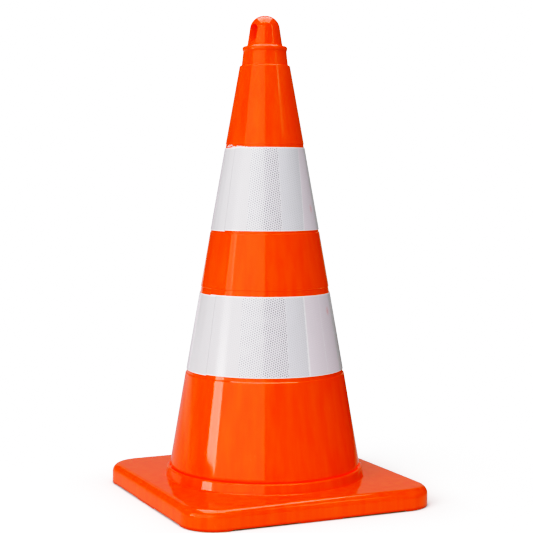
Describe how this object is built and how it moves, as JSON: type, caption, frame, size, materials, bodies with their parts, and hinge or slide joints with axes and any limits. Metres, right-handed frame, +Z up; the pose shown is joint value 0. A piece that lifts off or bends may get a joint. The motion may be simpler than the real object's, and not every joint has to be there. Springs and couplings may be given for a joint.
{
  "type": "traffic cone",
  "caption": "Tall orange road cone with white reflective sleeves and an eye in its head, plugged into the raised collar of a square ballasted base.",
  "frame": {"origin": "middle of the base on the ground, under the cone's axis", "axes": "+Z up along the cone's axis, X and Y along the sides of the square base"},
  "size_m": [0.4, 0.4, 0.75],
  "materials": {
    "orange_plastic": "glossy moulded polyethylene, signal orange",
    "reflective_sheet": "white prismatic retroreflective sheeting, smooth clear face",
    "ballast_rubber": "matte recycled rubber with coarse grain",
    "foot_rubber": "matte black",
    "screw_steel": "zinc plated"
  },
  "bodies": {
    "base": {"base_shell": "orange_plastic", "ballast_back_right": "ballast_rubber", "ballast_back_left": "ballast_rubber", "ballast_front_left": "ballast_rubber", "ballast_front_right": "ballast_rubber", "foot_back_right": "foot_rubber", "foot_back_left": "foot_rubber", "foot_front_left": "foot_rubber", "foot_front_right": "foot_rubber", "ballast_screws": "screw_steel"},
    "cone": {"cone_body": "orange_plastic", "lower_sleeve": "reflective_sheet", "upper_sleeve": "reflective_sheet"}
  },
  "joints": [
    {"name": "cone_lift", "type": "slide", "parent": "base", "child": "cone", "axis": [0, 0, 1], "range_m": [0, 0.06]}
  ]
}
